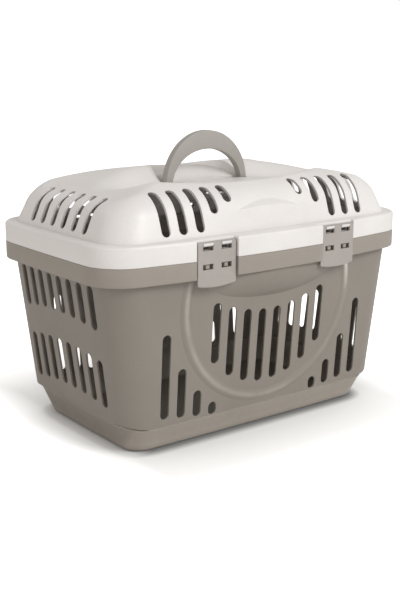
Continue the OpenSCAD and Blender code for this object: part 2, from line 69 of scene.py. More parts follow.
# Raised ring on the long walls, and the bulge under the rim
RING_Z, RING_R, RING_W, RING_OUT, RING_TUCK = 175.0, 129.0, 15.0, 2.2, 1.5
RING_BEAD = (RING_W ** 2 / 4 + RING_OUT ** 2) / (2 * RING_OUT)
BELLY_R, BELLY_DROP, BELLY_IN, BELLY_PAST = 350.0, 36.0, 3.5, 4.0
BELLY_TURN, BELLY_CHORD = 0.36, 115.0

# Slots of the long walls: the inner ones end on a circle inside the ring, the outer ones outside it
SIDE_SLOT_PITCH, SIDE_SLOT_W, SIDE_SLOT_REACH = 23.7, 12.3, (80, 170)
INNER_SLOTS, INNER_SLOT_R, INNER_SLOT_TOP, INNER_TOP_CURVE = (0.5, 1.5, 2.5, 3.5), 111.0, 160.0, 390.0
OUTER_SLOTS, OUTER_SLOT_R, OUTER_SLOT_LOW = (3.5, 4.5, 5.5, 6.5), 149.0, 34.5
OUTER_LOW_RUN, OUTER_TOP_DROP = 8.0, 26.0

# Slots of the ends, in two rows that droop towards the corners
END_SLOT_PITCH, END_SLOT_W, END_SLOT_LAST, END_SLOT_DROOP, END_SLOT_REACH = 22.7, 12.5, 3.5, 7.0, (165, 250)
LOW_ROW, HIGH_ROW = (65.0, 125.0), (162.0, 209.0)

# Lid: flange, dome and its shoulder, crown, dish
LID_Z, LEDGE_Z, DOME_SUNK = 235.3, 259.6, 12.0
FOOT_A, FOOT_B, DOME_R, DOME_CORNER, DOME_BOW = 225.0, 134.5, 42.0, 0.3, 4.5
FLANK_SIDE, FLANK_END, FLANK_H = radians(18), radians(23), 25.0
SHOULDER_R, SHOULDER_END_R = 42.0, 30.0
CROWN_SLOPE, CROWN_RISE = radians(25), 16.0
DISH, DISH_A, DISH_FRONT = 19.5, 184.0, 26.0
DISH_B, DISH_FLAT, DISH_REAR_B, DISH_REAR_FLAT, DISH_BLEND = 70.0, 0.6, 76.0, 0.42, 60.0
TOP_FINE, TOP_LAST = 0.26, 0.04

# Lid's bulges. The stops of the lip are steps back and up from its edge
BULGE_R, BULGE_IN, BULGE_H, BULGE_RUN, BULGE_SLOPE = 178.0, 23.0, 29.0, 36.0, radians(28)
BULGE_TURN, BULGE_CHORD, LIP_DROP, LIP_HALF = 0.42, 85.0, 4.5, 48.0
LIP_STOPS = ((0, -0.7), (0.2, -0.2), (0.7, 0.25), (BULGE_RUN, BULGE_RUN * tan(BULGE_SLOPE)))

# Lid's slots, measured up the slope from the dome's foot
LID_SLOT_REACH = (-21, 21)
LID_SIDE_LEAN, LID_SIDE_W, LID_SIDE_TOP = radians(34), 12.0, 64.5
LID_SIDE_FIRST, LID_SIDE_PITCH, LID_SIDE_LOWS = 57.0, 24.0, (37, 25, 6, 6, 6)
LID_END_LEAN, LID_END_W, LID_END_LOW, LID_END_TOP = radians(38), 11.0, 6.0, 57.0
LID_END_PITCH, LID_END_LAST = 24.5, 2.5

# Handle. HANDLE_T is the depth of its solid, HANDLE_DEEP the depth that shows
HANDLE_X, HANDLE_H, HANDLE_LEG, HANDLE_GRIP, HANDLE_T = 65.5, 68.5, 10.0, 24.0, 9.5
HANDLE_DEEP, HANDLE_EDGE, FOOT_EDGE, PIN_EDGE = 11.0, 1.4, 1.2, 0.4
PIVOT_DROP, PIN_R, PIN_L, BORE_EASE, BORE_L = 24.4, 2.5, 7.0, 0.05, 9.0
BOSS_L, BOSS_WALL = 7.5, 1.5 * WALL
FOOT_R = HANDLE_T / 2

# Handle's well, its lip and flare at the back, and the island between the handle's legs
WELL_FRONT, WELL_R, WELL_GAP, WELL_FLARE = 8.0, 5.0, 1.0, 0.8
LIP_RISE, LIP_OUT, WELL_PAST, WELL_WALL_PAST = 3.0, 1.0, 20.0, 3.0
ISLAND_TURN, ISLAND_FRONT, ISLAND_REACH, ISLAND_SPAN = 1.5, 2.0, 80.0, (200, 400)

# Clips, with the seat in the rim, the pivot, the windows and what holds the clips
CLIP_X, CLIP_W, CLIP_T, CLIP_L, CLIP_CURVE = 96.5, 56.0, 3.0, 52.0, 3.0
CLIP_CORNER, CLIP_EDGE, BAR_R, BAR_EDGE = 2.0, 0.9, 2.2, 0.5
SEAT_Y, PIVOT_Y, PIVOT_Z, PLATE_OUT, POCKET_W = 144.8, 147.8, 254.5, 2.6, 57.5
WINDOW_PITCH, WINDOW_W, WINDOW_UP, WINDOW_LOW, WINDOW_LOW_H = 27.0, 15.0, 8.0, 27.0, 6.4
WINDOW_PAST, WINDOW_REACH = 3.0, (-5, 5)
LUG_W, LUG_H, LUG_SHORT, LUG_EASE, LUG_WEB = 5.0, 5.4, 1.0, 0.8, 1.0
HOOK_R, BORE_R, HOOK_LIP = 3.45, 2.25, BAR_R / 3
PASS = 0.5
SWING_R, SWING_END, SWING_PAST = 19.2, 0.45, 12.0

# Counts of points
END_STEPS, ARC_STEPS, SIDE_STEPS = 9, 10, 40
QUARTER = END_STEPS + ARC_STEPS + SIDE_STEPS
RIM_EDGE_STEPS, BASE_EDGE_STEPS, BASE_INNER_STEPS, CLIP_EDGE_STEPS = 6, 8, 5, 5
BULGE_STEPS, BELLY_RINGS, WALL_RINGS, SHOULDER_RINGS, TOP_RINGS, TOP_FINE_RINGS = 61, 40, 28, 22, 38, 6
RING_SIDES, RING_STEPS, ISLAND_SIDES, ISLAND_RINGS = 20, 150, 72, 40
WELL_ARCH_STEPS, WELL_CORNER_STEPS = 49, 11
SWING_STEPS, HOOK_STEPS, BORE_STEPS, FINGER_STEPS, CLIP_CORNER_STEPS = 12, 10, 20, 25, 7
HANDLE_RINGS, HANDLE_CORNER_STEPS, FOOT_SIDES, PIN_SIDES, BAR_SIDES = 81, 6, 48, 24, 32

# Share of a rounded end's edge at its bend, and the angle up to which faces are smooth
EDGE_BEND, SMOOTH_ANGLE = 0.3, radians(24)


# Outlines
def unfold(first):
    """A whole outline from its quarter, which runs from +X round to +Y."""
    return np.concatenate([
        first[:-1], first[:0:-1] * [-1, 1], first[:-1] * [-1, -1], first[:0:-1] * [1, -1],
    ])


def outline(a, b, r, bow, bow_end):
    """Rounded rectangle with bowed sides."""
    tilt, tilt_end = atan(2 * bow / (a - r)), atan(2 * bow_end / (b - r))
    p = a - r * cos(tilt_end) + r * sin(tilt)
    q = b - r * cos(tilt) + r * sin(tilt_end)
    x_end = (p - q * tan(tilt_end) / 2) / (1 - tan(tilt) * tan(tilt_end) / 4)
    y_end = q - x_end * tan(tilt) / 2
    up_end = np.arange(END_STEPS + 1) / END_STEPS
    turn = tilt_end + (pi / 2 - tilt - tilt_end) * np.arange(1, ARC_STEPS) / ARC_STEPS
    along = np.arange(SIDE_STEPS, -1, -1) / SIDE_STEPS
    return unfold(np.concatenate([
        np.c_[a - y_end * tan(tilt_end) / 2 * up_end ** 2, y_end * up_end],
        np.c_[x_end - r * sin(tilt) + r * np.cos(turn), y_end - r * sin(tilt_end) + r * np.sin(turn)],
        np.c_[x_end * along, b - x_end * tan(tilt) / 2 * along ** 2],
    ]))


def make_end_share():
    """For each point of an outline, 1 on the ends, 0 on the long sides and between them at the corners."""
    t = np.clip((np.arange(QUARTER + 1) - END_STEPS) / ARC_STEPS, 0, 1)
    share = (1 + np.cos(pi * t)) / 2
    return np.concatenate([share[:-1], share[:0:-1], share[:-1], share[:0:-1]])


END_SHARE = make_end_share()


def level(plan, z, lift=0.0):
    """An outline at a height, lifted at its ends."""
    return np.c_[plan, z + lift * END_SHARE] if lift else np.c_[plan, np.full(len(plan), z)]


def mix(a, b, t):
    return a + (b - a) * t


def quarter_round(r, steps):
    """Steps of a rounded edge: how far along one face and how far in from the other."""
    return [(r * (1 - cos(t)), r * (1 - sin(t))) for t in np.linspace(0, pi / 2, steps)]


# Meshes
def solid(name, verts, faces):
    """Closed mesh in the scene, from millimetres."""
    mesh = bpy.data.meshes.new(name)
    mesh.from_pydata((np.asarray(verts, float) * MM).tolist(), [], faces)
    bm = bmesh.new()
    bm.from_mesh(mesh)
    bmesh.ops.recalc_face_normals(bm, faces=bm.faces)
    bmesh.ops.triangulate(bm, faces=[f for f in bm.faces if len(f.verts) > 4])
    bm.to_mesh(mesh)
    bm.free()
    obj = bpy.data.objects.new(name, mesh)
    bpy.context.scene.collection.objects.link(obj)
    return obj


def loft(rings, peak=None):
    """Vertices and faces of a skin through rings of equal length, closed flat or at a peak."""
    n, count = len(rings[0]), len(rings)
    faces = []
    for k in range(count - 1):
        a, b = k * n, (k + 1) * n
        faces += [(a + j, a + (j + 1) % n, b + (j + 1) % n, b + j) for j in range(n)]
    verts = [v for ring in rings for v in ring]
    top = (count - 1) * n
    faces.append(tuple(range(n))[::-1])
    if peak is None:
        faces.append(tuple(range(top, top + n)))
    else:
        verts.append(peak)
        faces += [(top + j, top + (j + 1) % n, top + n) for j in range(n)]
    return verts, faces


def merge(parts):
    """One list of vertices and faces from several that don't touch."""
    verts, faces = [], []
    for part_verts, part_faces in parts:
        start = len(verts)
        verts += [tuple(v) for v in part_verts]
        faces += [tuple(i + start for i in f) for f in part_faces]
    return verts, faces


def prism(points, place, reach):
    """Prism of a drawing between two depths: place turns (u, v, depth) into a point."""
    return loft([[place(u, v, d) for u, v in points] for d in reach])


def join(obj, tool, operation):
    """Cuts or joins a closed mesh and removes it."""
    modifier = obj.modifiers.new("join", "BOOLEAN")
    modifier.operation = operation
    modifier.solver = "MANIFOLD"
    modifier.object = tool
    graph = bpy.context.evaluated_depsgraph_get()
    mesh = bpy.data.meshes.new_from_object(obj.evaluated_get(graph))
    old, used = obj.data, tool.data
    obj.modifiers.clear()
    obj.data = mesh
    bpy.data.objects.remove(tool)
    bpy.data.meshes.remove(old)
    bpy.data.meshes.remove(used)
    return obj


def cut(obj, name, parts):
    return join(obj, solid(name, *merge(parts)), "DIFFERENCE")


def add(obj, name, parts):
    return join(obj, solid(name, *merge(parts)), "UNION")


def slot(width, low, high, x, steps=12):
    """Slot with round ends, from low to high."""
    r = width / 2
    t = np.linspace(0, pi, steps + 1)
    upper = np.c_[x + r * np.cos(t), high - r + r * np.sin(t)]
    lower = np.c_[x - r * np.cos(t), low + r - r * np.sin(t)]
    return np.concatenate([upper, lower])


def box(x, y, z):
    """Box between two limits along each axis."""
    corners = [(x[0], y[0]), (x[1], y[0]), (x[1], y[1]), (x[0], y[1])]
    return loft([[(u, v, h) for u, v in corners] for h in z])


def cylinder(a, b, r, steps=BAR_SIDES, edge=0.0):
    """Round bar along X from a to b, at (y, z) = (0, 0), with rounded ends."""
    t = np.linspace(0, 2 * pi, steps, endpoint=False)
    stops = [(a, r)]
    if edge:
        stops = [(a, r - edge), (a + edge * EDGE_BEND, r - edge * EDGE_BEND), (a + edge, r)]
    stops += [(a + b - x, q) for x, q in stops[::-1]]
    return loft([np.c_[np.full(steps, x), q * np.cos(t), q * np.sin(t)] for x, q in stops])


def moved(part, offset):
    return [np.add(v, offset) for v in part[0]], part[1]


def turned(part):
    """The part on the other side, turned half round the upright axis."""
    return [np.multiply(v, (-1, -1, 1)) for v in part[0]], part[1]


def both(parts):
    return parts + [turned(p) for p in parts]


# Rim with its clip pockets, shared by the tub and the lid
def rim_plan(inset):
    """Rim outline drawn in by inset, with a flat pocket behind each clip."""
    plan = outline(HALF_L - inset, HALF_D - inset, RIM_R - inset, RIM_BOW, RIM_END_BOW)
    half = plan[:2 * QUARTER + 1]
    seat = SEAT_Y - inset
    marks = [s * CLIP_X + e * (POCKET_W / 2 + inset) for s in (1, -1) for e in (1, -1)]
    first, last = END_STEPS + ARC_STEPS, 2 * QUARTER - END_STEPS - ARC_STEPS + 1
    xs, ys = half[first:last, 0], half[first:last, 1]
    points = list(half[:first])
    inside = False
    for px, py in zip(xs, ys):
        while marks and px < marks[0]:
            edge = marks.pop(0)
            face = np.interp(edge, xs[::-1], ys[::-1])
            points += [(edge, seat), (edge, face)] if inside else [(edge, face), (edge, seat)]
            inside = not inside
        points.append((px, seat if inside else py))
    points += list(half[last:-1])
    points = np.array(points)
    return np.concatenate([points, points * -1])


def rim_band(name, low, high, low_edge, high_edge):
    """Upright block along the rim with rounded edges."""
    rings = [level(rim_plan(e), low + h) for e, h in quarter_round(low_edge, RIM_EDGE_STEPS)[::-1]]
    rings += [level(rim_plan(e), high - h) for e, h in quarter_round(high_edge, RIM_EDGE_STEPS)]
    return solid(name, *loft(rings))


def rim_hollow(low, high):
    inner = rim_plan(WALL)
    return loft([level(inner, z) for z in (low - PAST, high - WALL)])


def sector(face, axis_r, r, half_turn, chord):
    """Slice of a round bulge: an arc of radius r about its axis, closed by a chord inside the wall."""
    middle = axis_r - face
    turns = np.linspace(-half_turn, half_turn, BULGE_STEPS)
    points = [(r * sin(t), middle - r * cos(t)) for t in turns]
    return points + [(points[-1][0], -chord), (points[0][0], -chord)]


def window_middles():
    return [s * CLIP_X + e * WINDOW_PITCH / 2 for s in (-1, 1) for e in (-1, 1)]


def seat_holes(low, high):
    """Holes through the rim's wall behind the clips' windows, from low to high below the pivot."""
    half = WINDOW_W / 2 - PASS
    through, heights = (-SEAT_Y - PAST, WALL + PAST - SEAT_Y), (PIVOT_Z - low, PIVOT_Z - high)
    return [box((m - half, m + half), through, heights) for m in window_middles()]


# Tub
def rise(z):
    """Share of the way from the step to the rim's top."""
    return (z - STEP_Z) / (TUB_H - STEP_Z)


def wall_half_d(z):
    return WALL_B - (TUB_H - z) * tan(SIDE_DRAFT)


def wall_half_l(z):
    return WALL_A - (TUB_H - z) * tan(END_DRAFT)


def bow_share(z):
    return mix(BOW_LOW, 1, rise(z))


def wall_face(x, z):
    """Distance of the long wall's face from the middle."""
    return wall_half_d(z) - WALL_BOW * bow_share(z) * (x / (wall_half_l(z) - STEP_R)) ** 2


def wall_plan(z, inset):
    return outline(
        wall_half_l(z) - inset, wall_half_d(z) - inset, mix(STEP_R, WALL_R, rise(z)) - inset,
        WALL_BOW * bow_share(z), END_BOW * bow_share(z),
    )


def base_plan(t, inset):
    """Outline of the base band, from the floor at 0 to the step at 1."""
    return outline(
        mix(BASE_A, wall_half_l(STEP_Z) - STEP_END, t) - inset,
        mix(BASE_B, wall_half_d(STEP_Z) - STEP_SIDE, t) - inset,
        mix(BASE_R, STEP_R, t) - inset,
        BOW_LOW * WALL_BOW, BOW_LOW * END_BOW,
    )


BELLY_FACE = HALF_D - BELLY_IN
BELLY_DEPTH = BELLY_FACE - wall_face(0, BAND_Z - BELLY_DROP)
BELLY_ARC = (BELLY_DROP ** 2 + BELLY_DEPTH ** 2) / (2 * BELLY_DEPTH)


def belly(inset):
    """Bulge that runs from the rim band down into the long wall."""
    face, rings = BELLY_FACE - inset, []
    for drop in np.concatenate([[-PAST], np.linspace(0, BELLY_DROP + BELLY_PAST, BELLY_RINGS)]):
        r = BELLY_R - BELLY_ARC + sqrt(BELLY_ARC ** 2 - max(drop, 0) ** 2)
        arc = sector(face, BELLY_R, r, BELLY_TURN, BELLY_CHORD)
        rings.append([(x, y, BAND_Z - drop) for x, y in arc])
    return loft(rings)


def base_rings(edge, inset, stops):
    """Rings of the base band: its lower edge, then heights where it lifts towards the ends."""
    rings = [level(base_plan(z / STEP_LOW, e), z) for z, e in edge]
    for z in stops:
        lift = STEP_LIFT * (z - LIFT_FROM) / (STEP_LOW - LIFT_FROM)
        rings.append(level(base_plan(z / STEP_LOW, inset), z, lift))
    return rings


def step_rings(inset):
    """The step between the base band and the wall, with a thin groove under it."""
    low, high = base_plan(1, inset), wall_plan(STEP_Z, inset)
    return [level(mix(low, high, out), mix(STEP_LOW, STEP_Z, up), STEP_LIFT) for out, up in STEP_STOPS]


def wall_rings(inset, top):
    heights = np.append(np.linspace(STEP_Z + STEP_CLEAR, BAND_Z, WALL_RINGS), top)
    return [level(wall_plan(z, inset), z, STEP_LIFT * (1 - rise(z))) for z in heights]


def tub_outside():
    rings = base_rings(quarter_round(BASE_EDGE, BASE_EDGE_STEPS), 0, BASE_STOPS)
    return solid("carrier_tub", *loft(rings + step_rings(0) + wall_rings(0, TUB_H - WALL_TOP_DROP)))


def tub_inside():
    edge = [(WALL + z, WALL + e) for z, e in quarter_round(BASE_INNER_EDGE, BASE_INNER_STEPS)]
    rings = base_rings(edge, WALL, BASE_INNER_STOPS)
    return loft(rings + step_rings(WALL) + wall_rings(WALL, TUB_H + PAST))


def ring_bead():
    """Raised ring on the long wall, lying along the wall's slope and ending behind the rim."""
    low, high = wall_face(0, RING_Z - RING_R), wall_face(RING_R, RING_Z)
    lean = atan((high - low) / RING_R)
    middle = np.array([0, -high - RING_OUT + RING_BEAD, RING_Z])
    across, up = np.array([1, 0, 0]), np.array([0, -sin(lean), cos(lean)])
    out = np.array([0, -cos(lean), -sin(lean)])
    reach = asin((BAND_Z + RING_TUCK - RING_Z) / (RING_R * cos(lean)))
    tube = np.linspace(0, 2 * pi, RING_SIDES, endpoint=False)
    rings = []
    for phi in np.linspace(-pi - reach, reach, RING_STEPS):
        radial = across * cos(phi) + up * sin(phi)
        ring = [middle + radial * (RING_R + RING_BEAD * cos(t)) + out * RING_BEAD * sin(t) for t in tube]
        rings.append(ring)
    return loft(rings)


def side_slots():
    shapes = []
    for s in (-1, 1):
        for i in INNER_SLOTS:
            x = i * SIDE_SLOT_PITCH
            low, high = RING_Z - sqrt(INNER_SLOT_R ** 2 - x * x), INNER_SLOT_TOP + x * x / INNER_TOP_CURVE
            shapes.append(slot(SIDE_SLOT_W, low, high, s * x))
        for i in OUTER_SLOTS:
            x = i * SIDE_SLOT_PITCH
            low = OUTER_SLOT_LOW + (x - OUTER_SLOTS[0] * SIDE_SLOT_PITCH) / OUTER_LOW_RUN
            high = RING_Z - max(OUTER_TOP_DROP, sqrt(max(0, OUTER_SLOT_R ** 2 - x * x)))
            shapes.append(slot(SIDE_SLOT_W, low, high, s * x))
    return [prism(p, lambda u, v, d: (u, -d, v), SIDE_SLOT_REACH) for p in shapes]


def end_slots():
    parts = []
    for i in np.arange(-END_SLOT_LAST, END_SLOT_LAST + 1):
        droop = END_SLOT_DROOP * (i / END_SLOT_LAST) ** 2
        for low, high in ((LOW_ROW[0] - droop, LOW_ROW[1] - droop), (HIGH_ROW[0] - droop, HIGH_ROW[1])):
            shape = slot(END_SLOT_W, low, high, i * END_SLOT_PITCH)
            parts.append(prism(shape, lambda u, v, d: (-d, -u, v), END_SLOT_REACH))
    return parts


def lugs():
    """Lugs that stand in the clips' lower windows, each with a web across the hole behind it."""
    face, z = -PIVOT_Y - PLATE_OUT + LUG_SHORT, PIVOT_Z - WINDOW_LOW
    half, seat, back = LUG_H / 2, -SEAT_Y, WALL - SEAT_Y
    web = half + LUG_WEB
    drawing = [
        (face + LUG_EASE, -half), (face, LUG_EASE - half), (face, half - LUG_EASE), (face + LUG_EASE, half),
        (seat, half), (seat, web), (back, web), (back, -web), (seat, -web), (seat, -half),
    ]
    return [prism(drawing, lambda u, v, d: (d, u, z + v), (m - LUG_W / 2, m + LUG_W / 2))
            for m in window_middles()]


def build_tub():
    tub = tub_outside()
    rim = rim_band("tub_rim", BAND_Z, TUB_H, RIM_LOW_EDGE, SEAM_EDGE)
    cut(rim, "rim_hollow", [rim_hollow(BAND_Z, TUB_H)])
    join(tub, rim, "UNION")
    add(tub, "belly", both([belly(0)]))
    add(tub, "ring_bead", both([ring_bead()]))
    cut(tub, "tub_hollow", [tub_inside()])
    cut(tub, "belly_hollow", both([belly(WALL)]))
    cut(tub, "side_slots", both(side_slots()))
    cut(tub, "end_slots", both(end_slots()))
    cut(tub, "seat_holes", both(seat_holes(WINDOW_LOW + LUG_H / 2, WINDOW_LOW - LUG_H / 2)))
    return add(tub, "tub_lugs", both(lugs()))


# Lid. Along its flank t runs from 0 at the foot to 1 under the shoulder and 2 at the crown's edge
def turn(lean, t):
    return mix(pi / 2 - lean, CROWN_SLOPE, t - 1)


def flank_run(lean, r, t):
    if t <= 1:
        return FLANK_H * t * tan(lean)
    return FLANK_H * tan(lean) + r * (sin(pi / 2 - lean) - sin(turn(lean, t)))


def flank_rise(lean, r, t):
    if t <= 1:
        return FLANK_H * t
    return FLANK_H + r * (cos(turn(lean, t)) - cos(pi / 2 - lean))


def dome_plan(t, inset):
    run = flank_run(FLANK_SIDE, SHOULDER_R, t)
    return outline(
        FOOT_A - flank_run(FLANK_END, SHOULDER_END_R, t) - inset, FOOT_B - run - inset,
        DOME_R - DOME_CORNER * run - inset, DOME_BOW, RIM_END_BOW,
    )


def dome_edge(t):
    return mix(flank_rise(FLANK_SIDE, SHOULDER_R, t), flank_rise(FLANK_END, SHOULDER_END_R, t), END_SHARE)


CROWN_H = flank_rise(FLANK_SIDE, SHOULDER_R, 2) + CROWN_RISE
CROWN_Z = LEDGE_Z + CROWN_H
CROWN_POWER = (FOOT_B - flank_run(FLANK_SIDE, SHOULDER_R, 2)) * tan(CROWN_SLOPE) / CROWN_RISE
HANDLE_Z = CROWN_Z - PIVOT_DROP
WELL_FLOOR = HANDLE_Z - FOOT_R - WELL_GAP
WELL_X = HANDLE_X + WELL_GAP


def top_ring(keep, inset):
    """Ring of the crown, drawn in to a share of its edge, with the dish that is softer at its back."""
    plan = dome_plan(2, inset)
    crown = mix(CROWN_H, dome_edge(2), keep ** CROWN_POWER)
    rear = np.clip((plan[:, 1] * keep + DISH_BLEND / 2) / DISH_BLEND, 0, 1)
    rear = rear * rear * (3 - 2 * rear)
    flat, depth = mix(DISH_FLAT, DISH_REAR_FLAT, rear), mix(DISH_B, DISH_REAR_B, rear)
    far = np.hypot(plan[:, 0] * keep / DISH_A, (plan[:, 1] * keep + DISH_FRONT) / depth)
    dip = DISH * (1 + np.cos(pi * np.clip((far - flat) / (1 - flat), 0, 1))) / 2
    return np.c_[plan * keep, LEDGE_Z + crown - dip - inset]


def bulge(inset):
    """Bulge on a long flank under its sloping shoulder, with an arched lip."""
    face = HALF_D - BULGE_IN - inset
    rings = [[(x, y, LEDGE_Z - WALL) for x, y in sector(face, BULGE_R, BULGE_R, BULGE_TURN, BULGE_CHORD)]]
    for back, up in LIP_STOPS:
        ring = []
        for x, y in sector(face, BULGE_R, BULGE_R - back, BULGE_TURN, BULGE_CHORD):
            lip = BULGE_H - LIP_DROP * (x / LIP_HALF) ** 2 - inset
            ring.append((x, y, LEDGE_Z + (lip + up)))
        rings.append(ring)
    return loft(rings)


def dome(inset):
    rings = [level(dome_plan(0, inset), LID_Z + DOME_SUNK)]
    for t in np.concatenate([[0, 0.5], np.linspace(1, 2, SHOULDER_RINGS)]):
        rings.append(np.c_[dome_plan(t, inset), LEDGE_Z + dome_edge(t) - inset])
    for span, count in (((1, TOP_FINE), TOP_RINGS), ((TOP_FINE, TOP_LAST), TOP_FINE_RINGS)):
        rings += [top_ring(keep, inset) for keep in np.linspace(*span, count)[1:]]
    return loft(rings, (0, 0, CROWN_Z - DISH - inset))


def well_plan(grow, flare):
    """Outline of the handle's well: an arch at the back and two rounded corners at the front."""
    half, back = WELL_X + grow, HANDLE_H + WELL_GAP + grow + flare - FOOT_R
    front, r = WELL_FRONT + grow, WELL_R + grow
    arch = np.linspace(0, pi, WELL_ARCH_STEPS)
    points = list(zip(half * np.cos(arch), FOOT_R + back * np.sin(arch)))
    for s, start in ((-1, pi), (1, 1.5 * pi)):
        t = start + np.linspace(0, pi / 2, WELL_CORNER_STEPS)
        points += list(zip(s * (half - r) + r * np.cos(t), r - front + r * np.sin(t)))
    return points


def flared_well(grow, top):
    """Well with an upright wall as deep as the folded handle and a flare above it at the back."""
    lip = HANDLE_Z + HANDLE_DEEP / 2
    flare = LIP_OUT + (top - lip - LIP_RISE) * WELL_FLARE
    stops = ((WELL_FLOOR - grow, 0), (lip, 0), (lip + LIP_RISE, LIP_OUT), (top, flare))
    return loft([[(x, y, z) for x, y in well_plan(grow, out)] for z, out in stops])


def well_cutter():
    """The handle's well: a groove round an island that the arch folds over."""
    well = solid("well", *flared_well(0, CROWN_Z + WELL_PAST))
    a, h = HANDLE_X - HANDLE_LEG - WELL_GAP, HANDLE_H - HANDLE_GRIP - WELL_GAP
    t = np.linspace(0, 2 * pi, ISLAND_SIDES, endpoint=False)
    rings = []
    for k in np.linspace(-ISLAND_TURN, ISLAND_TURN, ISLAND_RINGS):
        r = h * cos(k)
        rings.append(np.c_[np.full(ISLAND_SIDES, a * sin(k)), r * np.cos(t), HANDLE_Z + r * np.sin(t)])
    island = solid("island", *loft(rings))
    front = box((-ISLAND_REACH, ISLAND_REACH), (-ISLAND_REACH, FOOT_R + ISLAND_FRONT), ISLAND_SPAN)
    cut(island, "island_front", [front])
    return join(well, island, "DIFFERENCE")


def leaning(foot, lean):
    """Place of a drawing on a plane that leans in from the dome's foot."""
    s, c = sin(lean), cos(lean)
    return lambda u, v, d: (u, -foot + v * s - d * c, LEDGE_Z + v * c + d * s)


def lid_side_slots():
    place = leaning(FOOT_B, LID_SIDE_LEAN)
    parts = []
    for s in (-1, 1):
        for i, low in enumerate(LID_SIDE_LOWS):
            shape = slot(LID_SIDE_W, low, LID_SIDE_TOP, s * (LID_SIDE_FIRST + i * LID_SIDE_PITCH))
            parts.append(prism(shape, place, LID_SLOT_REACH))
    return parts


def lid_end_slots():
    place = leaning(FOOT_A, LID_END_LEAN)

    def on_end(u, v, d):
        x, y, z = place(u, v, d)
        return (y, -x, z)
    columns = np.arange(-LID_END_LAST, LID_END_LAST + 1)
    return [prism(slot(LID_END_W, LID_END_LOW, LID_END_TOP, i * LID_END_PITCH), on_end, LID_SLOT_REACH)
            for i in columns]


def swing_relief():
    """What the back of the flange loses so that it swings clear of the rim."""
    low, out = LID_Z - PAST, HALF_D + SWING_PAST
    turns = np.linspace(-pi / 2, -asin(SWING_END), SWING_STEPS)
    curve = [(PIVOT_Y + SWING_R * cos(t), PIVOT_Z + SWING_R * sin(t)) for t in turns]
    drawing = curve + [(out, curve[-1][1]), (out, low), (PIVOT_Y, low)]
    return prism(drawing, lambda y, z, d: (d, y, z), (-HALF_L, HALF_L))


def hooks():
    """Hooks that hold the clips' bars, open at the top."""
    back = PIVOT_Y - SEAT_Y + WALL / 2
    outer, inner = asin(HOOK_LIP / HOOK_R), asin(HOOK_LIP / BORE_R)
    drawing = [(HOOK_R * cos(t), HOOK_R * sin(t)) for t in np.linspace(pi - outer, 1.5 * pi, HOOK_STEPS)]
    drawing += [(back, -HOOK_R), (back, HOOK_LIP)]
    drawing += [(BORE_R * cos(t), BORE_R * sin(t)) for t in np.linspace(inner, -pi - inner, BORE_STEPS)]
    half = WINDOW_W / 2 - PASS
    return [prism(drawing, lambda y, z, d: (d, y - PIVOT_Y, z + PIVOT_Z), (m - half, m + half))
            for m in window_middles()]


def ends(inner, outer):
    """Limits along X of a pair on the handle's pivot line, right then left."""
    return ((inner, outer), (-outer, -inner))


def on_pivot(span, r, steps=BAR_SIDES, edge=0.0):
    return moved(cylinder(*span, r, steps, edge), (0, 0, HANDLE_Z))


def lid_hollow():
    """The lid's inside, less the walls of the well and the bosses at its pivots."""
    inside = solid("dome_inside", *dome(WALL))
    add(inside, "bulges_inside", both([bulge(WALL)]))
    cut(inside, "well_walls", [flared_well(WALL, CROWN_Z + WELL_WALL_PAST)])
    for span in ends(WELL_X, WELL_X + BOSS_L)[::-1]:
        cut(inside, "pivot_boss", [on_pivot(span, PIN_R + BOSS_WALL)])
    return inside


def back_rib():
    """Rib inside the back of the flange, which covers the gap that the swing needs."""
    half = CLIP_X - POCKET_W / 2 - WALL
    return box((-half, half), (PIVOT_Y - WALL, PIVOT_Y), (LID_Z, LEDGE_Z - WALL / 2))


def build_lid():
    lid = rim_band("carrier_lid", LID_Z, LEDGE_Z, SEAM_EDGE, LEDGE_EDGE)
    add(lid, "dome", [dome(0)])
    add(lid, "bulges", both([bulge(0)]))
    join(lid, lid_hollow(), "DIFFERENCE")
    cut(lid, "flange_hollow", [rim_hollow(LID_Z, LEDGE_Z)])
    join(lid, well_cutter(), "DIFFERENCE")
    for span in ends(WELL_X - PAST, WELL_X + BORE_L)[::-1]:
        cut(lid, "pivot_bore", [on_pivot(span, PIN_R + BORE_EASE)])
    cut(lid, "swing_relief", [swing_relief()])
    add(lid, "back_rib", [back_rib()])
    cut(lid, "lid_side_slots", both(lid_side_slots()))
    cut(lid, "lid_end_slots", both(lid_end_slots()))
    cut(lid, "seat_holes", both(seat_holes(WINDOW_UP, HOOK_R)))
    return add(lid, "lid_hooks", both(hooks()))


